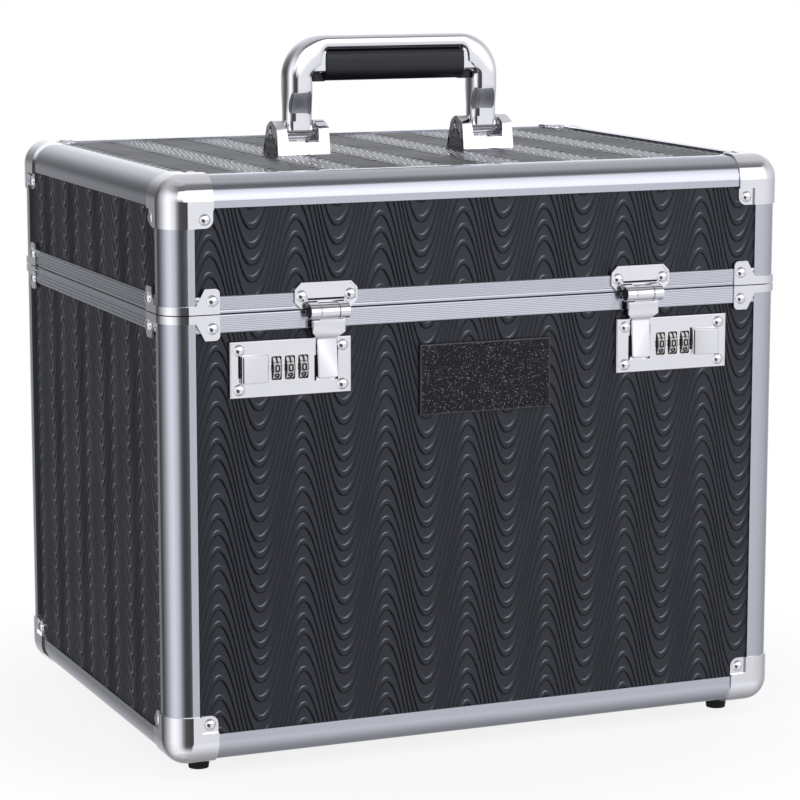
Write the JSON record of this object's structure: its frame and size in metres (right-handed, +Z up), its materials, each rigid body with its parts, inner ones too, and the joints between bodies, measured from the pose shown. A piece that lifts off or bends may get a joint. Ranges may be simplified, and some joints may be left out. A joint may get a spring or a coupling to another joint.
{
  "type": "horse grooming box",
  "caption": "Aluminium-framed grooming case: hinged lid, folding top handle, combination locks with hasps, chrome corners, lift-out divided tray.",
  "frame": {"origin": "on the floor under the middle of the case", "axes": "+X to the right seen from the front, front towards -Y, +Z up"},
  "size_m": [0.4054, 0.3146, 0.425],
  "materials": {
    "embossed_board": "embossed skin, satin",
    "aluminium": "satin anodised",
    "inner_steel": "plain",
    "pin_steel": "plain",
    "chrome": "polished",
    "lining": "felt",
    "rubber": "matte",
    "grip": "matte",
    "badge": "black with fine glitter",
    "tray": "matte",
    "dial": "satin, black numerals"
  },
  "bodies": {
    "case": {"front_panel": "embossed_board", "back_panel": "embossed_board", "left_panel": "embossed_board", "right_panel": "embossed_board", "bottom_panel": "embossed_board", "corner_posts": "aluminium", "bottom_edges_long": "aluminium", "bottom_edges_short": "aluminium", "case_rim_long": "aluminium", "case_rim_short": "aluminium", "bottom_joiners": "inner_steel", "bottom_caps": "chrome", "case_rim_brackets": "chrome", "case_rivets": "chrome", "feet": "rubber", "lock_plate_left": "chrome", "lock_plate_right": "chrome", "lock_covers": "inner_steel", "wheel_shafts": "pin_steel", "badge_plate": "badge", "hinge_case_leaves": "chrome", "hinge_pins": "pin_steel", "case_lining": "lining", "tray_ledges": "aluminium"},
    "lid": {"lid_top_panel": "embossed_board", "lid_front_panel": "embossed_board", "lid_back_panel": "embossed_board", "lid_left_panel": "embossed_board", "lid_right_panel": "embossed_board", "lid_posts": "aluminium", "top_edges_long": "aluminium", "top_edges_short": "aluminium", "lid_rim_long": "aluminium", "lid_rim_short": "aluminium", "top_joiners": "inner_steel", "top_caps": "chrome", "lid_rim_brackets": "chrome", "lid_rivets": "chrome", "hasp_plates": "chrome", "hasp_pins": "pin_steel", "hinge_lid_leaves": "chrome", "handle_brackets": "chrome", "handle_pins": "pin_steel", "lid_lining": "lining"},
    "handle": {"handle_frame": "chrome", "grip": "grip"},
    "hasp_left": {"hasp_left": "chrome"},
    "hasp_right": {"hasp_right": "chrome"},
    "slider_left": {"slider_left": "chrome"},
    "slider_right": {"slider_right": "chrome"},
    "wheel_left_1": {"wheel_left_1": "dial"},
    "wheel_left_2": {"wheel_left_2": "dial"},
    "wheel_left_3": {"wheel_left_3": "dial"},
    "wheel_right_1": {"wheel_right_1": "dial"},
    "wheel_right_2": {"wheel_right_2": "dial"},
    "wheel_right_3": {"wheel_right_3": "dial"},
    "tray": {"tray": "tray", "tray_dividers": "tray"}
  },
  "joints": [
    {"name": "lid_hinge", "type": "hinge", "parent": "case", "child": "lid", "pos_m": [0, 0.1533, 0.274], "axis": [-1, 0, 0], "range_deg": [0, 95]},
    {"name": "handle_fold", "type": "hinge", "parent": "lid", "child": "handle", "pos_m": [0, 0, 0.3665], "axis": [1, 0, 0], "range_deg": [-90, 90]},
    {"name": "hasp_left_swing", "type": "hinge", "parent": "lid", "child": "hasp_left", "pos_m": [-0.1023, -0.1527, 0.2732], "axis": [-1, 0, 0], "range_deg": [0, 120]},
    {"name": "hasp_right_swing", "type": "hinge", "parent": "lid", "child": "hasp_right", "pos_m": [0.1023, -0.1527, 0.2732], "axis": [-1, 0, 0], "range_deg": [0, 120]},
    {"name": "slider_left_push", "type": "slide", "parent": "case", "child": "slider_left", "axis": [-1, 0, 0], "range_m": [0, 0.004], "stiffness_N_per_m": 200},
    {"name": "slider_right_push", "type": "slide", "parent": "case", "child": "slider_right", "axis": [1, 0, 0], "range_m": [0, 0.004], "stiffness_N_per_m": 200},
    {"name": "dial_left_1", "type": "hinge", "parent": "case", "child": "wheel_left_1", "pos_m": [-0.1333, -0.1423, 0.241], "axis": [1, 0, 0], "continuous": true},
    {"name": "dial_left_2", "type": "hinge", "parent": "case", "child": "wheel_left_2", "pos_m": [-0.125, -0.1423, 0.241], "axis": [1, 0, 0], "continuous": true},
    {"name": "dial_left_3", "type": "hinge", "parent": "case", "child": "wheel_left_3", "pos_m": [-0.1167, -0.1423, 0.241], "axis": [1, 0, 0], "continuous": true},
    {"name": "dial_right_1", "type": "hinge", "parent": "case", "child": "wheel_right_1", "pos_m": [0.1167, -0.1423, 0.241], "axis": [1, 0, 0], "continuous": true},
    {"name": "dial_right_2", "type": "hinge", "parent": "case", "child": "wheel_right_2", "pos_m": [0.125, -0.1423, 0.241], "axis": [1, 0, 0], "continuous": true},
    {"name": "dial_right_3", "type": "hinge", "parent": "case", "child": "wheel_right_3", "pos_m": [0.1333, -0.1423, 0.241], "axis": [1, 0, 0], "continuous": true},
    {"name": "tray_lift", "type": "slide", "parent": "case", "child": "tray", "axis": [0, 0, 1], "range_m": [0, 0.075]}
  ]
}
